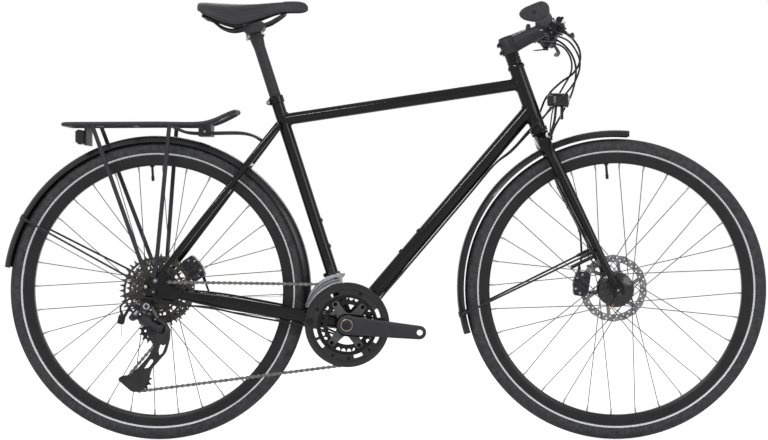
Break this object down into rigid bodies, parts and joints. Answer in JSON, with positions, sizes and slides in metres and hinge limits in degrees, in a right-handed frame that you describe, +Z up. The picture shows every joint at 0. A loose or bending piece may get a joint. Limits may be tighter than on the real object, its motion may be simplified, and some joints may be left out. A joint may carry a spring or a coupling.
{
  "type": "touring bicycle",
  "caption": "Touring bicycle with a diamond frame, flat bar, disc brakes, derailleur gears, rear rack, full mudguards and lights.",
  "frame": {"origin": "on the ground under the middle of the overall length, in the middle plane of the frame", "axes": "+X forward, +Y to the rider's left, +Z up; the chain side is -Y"},
  "size_m": [1.796, 0.6052, 1.0343],
  "materials": {
    "frame_gloss_black": "gloss",
    "satin_black": "satin",
    "black_plastic": "semi-gloss",
    "tyre_rubber": "matt",
    "grip_rubber": "matt",
    "saddle_skin": "matt",
    "cable_black": "semi-gloss",
    "rim_black": "satin",
    "hub_steel": "satin",
    "hub_black": "gloss",
    "chain_steel": "satin",
    "sprocket_steel": "satin",
    "rotor_steel": "brushed",
    "silver_alloy": "satin",
    "lamp_lens": "gloss",
    "lamp_black": "gloss"
  },
  "bodies": {
    "frame": {"head_tube": "frame_gloss_black", "top_tube": "frame_gloss_black", "down_tube": "frame_gloss_black", "seat_tube": "frame_gloss_black", "bottom_bracket_shell": "frame_gloss_black", "chainstays": "frame_gloss_black", "seatstays": "frame_gloss_black", "rear_rack": "satin_black", "rear_mudguard": "black_plastic", "rear_mudguard_stays": "satin_black", "rear_light": "lamp_black", "rear_brake_caliper": "satin_black", "rear_axle": "hub_steel", "front_derailleur_body": "satin_black", "rear_derailleur_mount": "satin_black", "chain": "chain_steel", "rear_brake_hose": "cable_black", "shift_cables": "cable_black"},
    "saddle_assembly": {"seatpost": "satin_black", "saddle_rails": "satin_black", "saddle_shell": "black_plastic", "saddle_cover": "saddle_skin"},
    "front_end": {"fork": "frame_gloss_black", "stem": "satin_black", "handlebar": "satin_black", "grip_left": "grip_rubber", "grip_right": "grip_rubber", "control_left": "satin_black", "control_right": "satin_black", "front_brake_caliper": "satin_black", "front_axle": "hub_steel", "front_mudguard": "black_plastic", "front_mudguard_stays": "satin_black", "headlight": "lamp_black", "headlight_lens": "lamp_lens", "front_brake_hose": "cable_black", "headlight_cable": "cable_black"},
    "left_brake_lever": {"brake_lever_left": "satin_black"},
    "right_brake_lever": {"brake_lever_right": "satin_black"},
    "left_shift_lever": {"shift_lever_left": "black_plastic"},
    "right_shift_lever": {"shift_lever_right": "black_plastic"},
    "front_wheel": {"front_tyre": "tyre_rubber", "front_rim": "rim_black", "front_hub": "hub_black", "front_rotor": "rotor_steel"},
    "rear_wheel": {"rear_tyre": "tyre_rubber", "rear_rim": "rim_black", "rear_hub": "hub_black", "rear_rotor": "rotor_steel"},
    "cassette_body": {"cassette": "sprocket_steel"},
    "crankset": {"crank_right": "satin_black", "crank_left": "satin_black", "chainrings": "sprocket_steel", "chain_guard": "black_plastic"},
    "derailleur_parallelogram": {"derailleur_link": "satin_black"},
    "derailleur_knuckle_body": {"derailleur_knuckle": "satin_black"},
    "derailleur_cage_body": {"derailleur_cage": "satin_black"},
    "guide_pulley_body": {"guide_pulley": "black_plastic"},
    "tension_pulley_body": {"tension_pulley": "black_plastic"},
    "front_derailleur_cage_body": {"front_derailleur_cage": "silver_alloy"}
  },
  "joints": [
    {"name": "steering", "type": "hinge", "parent": "frame", "child": "front_end", "pos_m": [0.50446, 0, 0.33865], "axis": [-0.3338, 0, 0.9426], "range_deg": [-60, 60], "deforming": ["rear_brake_hose", "shift_cables"]},
    {"name": "front_wheel_spin", "type": "hinge", "parent": "front_end", "child": "front_wheel", "pos_m": [0.545, 0, 0.353], "axis": [0, 1, 0], "continuous": true},
    {"name": "rear_wheel_spin", "type": "hinge", "parent": "frame", "child": "rear_wheel", "pos_m": [-0.5325, 0, 0.353], "axis": [0, 1, 0], "continuous": true},
    {"name": "crank_spin", "type": "hinge", "parent": "frame", "child": "crankset", "pos_m": [-0.0835, 0, 0.274], "axis": [0, 1, 0], "continuous": true, "deforming": ["chain"]},
    {"name": "cassette_spin", "type": "hinge", "parent": "frame", "child": "cassette_body", "pos_m": [-0.5325, 0, 0.353], "axis": [0, 1, 0], "continuous": true},
    {"name": "tension_pulley_spin", "type": "hinge", "parent": "derailleur_cage_body", "child": "tension_pulley_body", "pos_m": [-0.5685, -0.0615, 0.147], "axis": [0, 1, 0], "continuous": true},
    {"name": "guide_pulley_spin", "type": "hinge", "parent": "derailleur_cage_body", "child": "guide_pulley_body", "pos_m": [-0.5401, -0.0615, 0.261], "axis": [0, 1, 0], "continuous": true},
    {"name": "left_brake_pull", "type": "hinge", "parent": "front_end", "child": "left_brake_lever", "pos_m": [0.40937, 0.15271, 0.94546], "axis": [0.5225, 0.0884, 0.848], "range_deg": [0, 20], "stiffness_Nm_per_rad": 1.2, "springref_deg": -14.32},
    {"name": "right_brake_pull", "type": "hinge", "parent": "front_end", "child": "right_brake_lever", "pos_m": [0.40937, -0.15271, 0.94546], "axis": [-0.5225, 0.0884, -0.848], "range_deg": [0, 20], "stiffness_Nm_per_rad": 1.2, "springref_deg": -14.32},
    {"name": "left_shift_push", "type": "hinge", "parent": "front_end", "child": "left_shift_lever", "pos_m": [0.39108, 0.10905, 0.92678], "axis": [0, 0, -1], "range_deg": [0, 25], "stiffness_Nm_per_rad": 0.3, "springref_deg": -11.46},
    {"name": "right_shift_push", "type": "hinge", "parent": "front_end", "child": "right_shift_lever", "pos_m": [0.39108, -0.10905, 0.92678], "axis": [0, 0, 1], "range_deg": [0, 25], "stiffness_Nm_per_rad": 0.3, "springref_deg": -11.46},
    {"name": "seatpost_height", "type": "slide", "parent": "frame", "child": "saddle_assembly", "axis": [-0.3024, 0, 0.9532], "range_m": [-0.08, 0.06]},
    {"name": "derailleur_shift", "type": "hinge", "parent": "frame", "child": "derailleur_parallelogram", "pos_m": [-0.5765, -0.086, 0.3], "axis": [0.4261, 0.6032, 0.6742], "range_deg": [0, 32], "stiffness_Nm_per_rad": 0.6, "springref_deg": -28.65, "deforming": ["chain"]},
    {"name": "derailleur_level", "type": "hinge", "parent": "derailleur_parallelogram", "child": "derailleur_knuckle_body", "pos_m": [-0.5145, -0.09, 0.268], "axis": [0.4261, 0.6032, 0.6742], "range_deg": [-32, 0], "deforming": ["chain"]},
    {"name": "derailleur_cage_tension", "type": "hinge", "parent": "derailleur_knuckle_body", "child": "derailleur_cage_body", "pos_m": [-0.5125, -0.0615, 0.254], "axis": [0, 1, 0], "range_deg": [-40, 20], "stiffness_Nm_per_rad": 0.25, "deforming": ["chain"]},
    {"name": "front_derailleur_shift", "type": "slide", "parent": "frame", "child": "front_derailleur_cage_body", "axis": [0, 1, 0], "range_m": [0, 0.0075], "stiffness_N_per_m": 1500, "springref_m": -0.002, "deforming": ["chain"]}
  ],
  "couplings": [
    {"joint": "cassette_spin", "follows": "crank_spin", "ratio": 4.1818},
    {"joint": "tension_pulley_spin", "follows": "crank_spin", "ratio": 3.5385},
    {"joint": "guide_pulley_spin", "follows": "crank_spin", "ratio": -3.5385},
    {"joint": "derailleur_level", "follows": "derailleur_shift", "ratio": -1}
  ]
}
